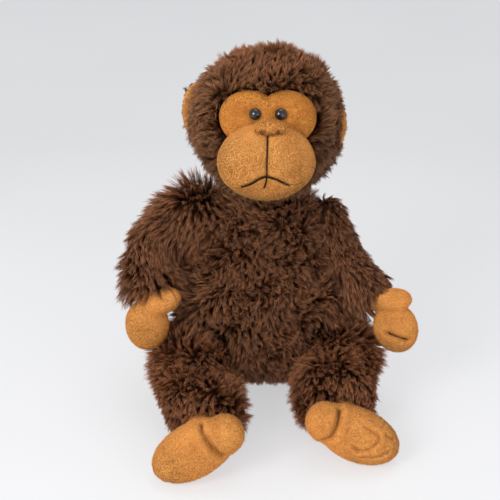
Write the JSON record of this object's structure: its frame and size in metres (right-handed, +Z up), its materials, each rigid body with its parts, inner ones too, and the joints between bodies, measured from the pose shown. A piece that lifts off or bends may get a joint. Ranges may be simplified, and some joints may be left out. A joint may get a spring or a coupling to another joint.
{
  "type": "stuffed monkey",
  "caption": "Seated stuffed monkey with shaggy fur, a velvety face, hands and feet, plastic eyes and jointed head, ears, arms, hands, legs and feet.",
  "frame": {"origin": "middle of the flat seat, on the floor", "axes": "+Z up, the monkey faces -Y, +X to the monkey's own left"},
  "size_m": [0.2291, 0.201, 0.2798],
  "materials": {
    "fur": "long shaggy pile",
    "minky": "short velvety pile",
    "stuffing": "loose fibre",
    "pellet_bag": "thin woven bag of plastic pellets",
    "eye_plastic": "gloss",
    "washer_plastic": "matte",
    "dark_thread": "embroidery thread"
  },
  "bodies": {
    "torso": {"torso_shell": "fur", "torso_filling": "stuffing", "seat_pellet_bag": "pellet_bag", "closing_seam_thread": "dark_thread"},
    "neck": {"neck_filling": "stuffing"},
    "head": {"head_shell": "fur", "head_filling": "stuffing", "face_panel": "minky", "muzzle_shell": "minky", "muzzle_filling": "stuffing", "nose_pad": "minky", "left_eye": "eye_plastic", "right_eye": "eye_plastic", "left_eye_washer": "washer_plastic", "right_eye_washer": "washer_plastic", "muzzle_seam_thread": "dark_thread", "mouth_thread": "dark_thread", "lip_thread": "dark_thread"},
    "left_ear": {"left_ear_lining": "minky", "left_ear_back": "fur"},
    "left_shoulder": {"left_shoulder_filling": "stuffing"},
    "left_arm": {"left_arm_shell": "fur", "left_arm_filling": "stuffing"},
    "left_hand": {"left_hand_shell": "minky", "left_hand_filling": "stuffing", "left_finger_stitch": "dark_thread"},
    "left_hip": {"left_hip_filling": "stuffing"},
    "left_leg": {"left_leg_shell": "fur", "left_leg_filling": "stuffing"},
    "left_foot": {"left_foot_shell": "minky", "left_foot_filling": "stuffing"},
    "right_ear": {"right_ear_lining": "minky", "right_ear_back": "fur"},
    "right_shoulder": {"right_shoulder_filling": "stuffing"},
    "right_arm": {"right_arm_shell": "fur", "right_arm_filling": "stuffing"},
    "right_hand": {"right_hand_shell": "minky", "right_hand_filling": "stuffing", "right_finger_stitch": "dark_thread"},
    "right_hip": {"right_hip_filling": "stuffing"},
    "right_leg": {"right_leg_shell": "fur", "right_leg_filling": "stuffing"},
    "right_foot": {"right_foot_shell": "minky", "right_foot_filling": "stuffing"}
  },
  "joints": [
    {"name": "neck_turn", "type": "hinge", "parent": "torso", "child": "neck", "pos_m": [0, -0.003, 0.177], "axis": [0, 0, 1], "range_deg": [-40, 40]},
    {"name": "neck_nod", "type": "hinge", "parent": "neck", "child": "head", "pos_m": [0, -0.003, 0.177], "axis": [1, 0, 0], "range_deg": [-18, 20]},
    {"name": "left_ear_fold", "type": "hinge", "parent": "head", "child": "left_ear", "pos_m": [0.055, -0.00086, 0.22835], "axis": [0, 0.2079, 0.9781], "range_deg": [-20, 15]},
    {"name": "right_ear_fold", "type": "hinge", "parent": "head", "child": "right_ear", "pos_m": [-0.055, -0.00086, 0.22835], "axis": [0, -0.2079, -0.9781], "range_deg": [-20, 15]},
    {"name": "left_shoulder_swing", "type": "hinge", "parent": "torso", "child": "left_shoulder", "pos_m": [0.048, 0, 0.147], "axis": [-1, 0, 0], "range_deg": [-25, 80]},
    {"name": "left_shoulder_lift", "type": "hinge", "parent": "left_shoulder", "child": "left_arm", "pos_m": [0.048, 0, 0.147], "axis": [0, -1, 0], "range_deg": [0, 60]},
    {"name": "left_wrist_bend", "type": "hinge", "parent": "left_arm", "child": "left_hand", "pos_m": [0.0875, -0.038, 0.094], "axis": [-1, 0, 0], "range_deg": [-30, 8]},
    {"name": "left_hip_swing", "type": "hinge", "parent": "torso", "child": "left_hip", "pos_m": [0.052, -0.02, 0.028], "axis": [-1, 0, 0], "range_deg": [-60, 40]},
    {"name": "left_hip_spread", "type": "hinge", "parent": "left_hip", "child": "left_leg", "pos_m": [0.052, -0.02, 0.028], "axis": [0, 0, 1], "range_deg": [-3, 35]},
    {"name": "left_ankle_bend", "type": "hinge", "parent": "left_leg", "child": "left_foot", "pos_m": [0.0585, -0.1005, 0.0275], "axis": [-1, 0, 0], "range_deg": [-12, 20]},
    {"name": "right_shoulder_swing", "type": "hinge", "parent": "torso", "child": "right_shoulder", "pos_m": [-0.048, 0, 0.147], "axis": [-1, 0, 0], "range_deg": [-25, 80]},
    {"name": "right_shoulder_lift", "type": "hinge", "parent": "right_shoulder", "child": "right_arm", "pos_m": [-0.048, 0, 0.147], "axis": [0, 1, 0], "range_deg": [-6, 60]},
    {"name": "right_wrist_bend", "type": "hinge", "parent": "right_arm", "child": "right_hand", "pos_m": [-0.092, -0.037, 0.094], "axis": [-1, 0, 0], "range_deg": [-30, 4]},
    {"name": "right_hip_swing", "type": "hinge", "parent": "torso", "child": "right_hip", "pos_m": [-0.052, -0.02, 0.028], "axis": [-1, 0, 0], "range_deg": [-60, 40]},
    {"name": "right_hip_spread", "type": "hinge", "parent": "right_hip", "child": "right_leg", "pos_m": [-0.052, -0.02, 0.028], "axis": [0, 0, -1], "range_deg": [-3, 35]},
    {"name": "right_ankle_bend", "type": "hinge", "parent": "right_leg", "child": "right_foot", "pos_m": [-0.0495, -0.119, 0.0285], "axis": [-1, 0, 0], "range_deg": [-12, 20]}
  ]
}
